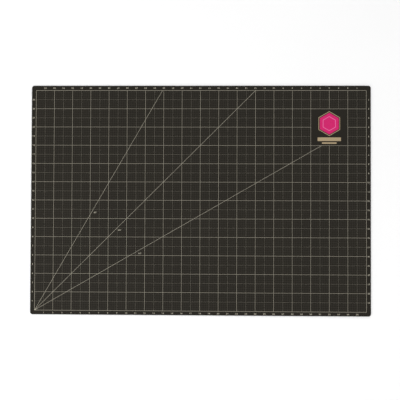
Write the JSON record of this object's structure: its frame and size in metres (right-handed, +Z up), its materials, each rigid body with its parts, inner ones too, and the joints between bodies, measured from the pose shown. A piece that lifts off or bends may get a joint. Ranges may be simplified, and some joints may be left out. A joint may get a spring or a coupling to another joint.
{
  "type": "self-healing cutting mat",
  "caption": "Large flat self-healing cutting mat: a dark laminated sheet with rounded corners, an inch grid, edge numerals, angle lines and a plain hexagonal badge.",
  "frame": {"origin": "centre of the underside, on the surface that the mat lies on", "axes": "+X along the long side, towards the badge; +Y along the short side, towards the edge nearer the badge; +Z up out of the printed face"},
  "size_m": [0.9388, 0.6344, 0.003],
  "materials": {
    "skin": "soft charcoal PVC with a fine pebbled grain and a dull sheen",
    "core": "stiff black PVC, seen only as a line in the cut edge",
    "ink": "screen-printed warm light grey ink, slightly broken",
    "badge_ink": "screen-printed magenta ink",
    "badge_light": "screen-printed pale pink ink"
  },
  "bodies": {
    "root": {"bottom_ply": "skin", "core_ply": "core", "top_ply": "skin", "frame_rule": "ink", "two_inch_lines": "ink", "one_inch_lines": "ink", "origin_mark": "ink", "angle_line_30": "ink", "angle_line_45": "ink", "angle_line_60": "ink", "angle_label_30": "ink", "angle_label_45": "ink", "angle_label_60": "ink", "numerals_bottom": "ink", "numerals_right": "ink", "numerals_top": "ink", "numerals_left": "ink", "badge_field": "badge_ink", "badge_inset": "badge_light", "badge_rim": "ink", "badge_bars": "ink"}
  },
  "joints": []
}
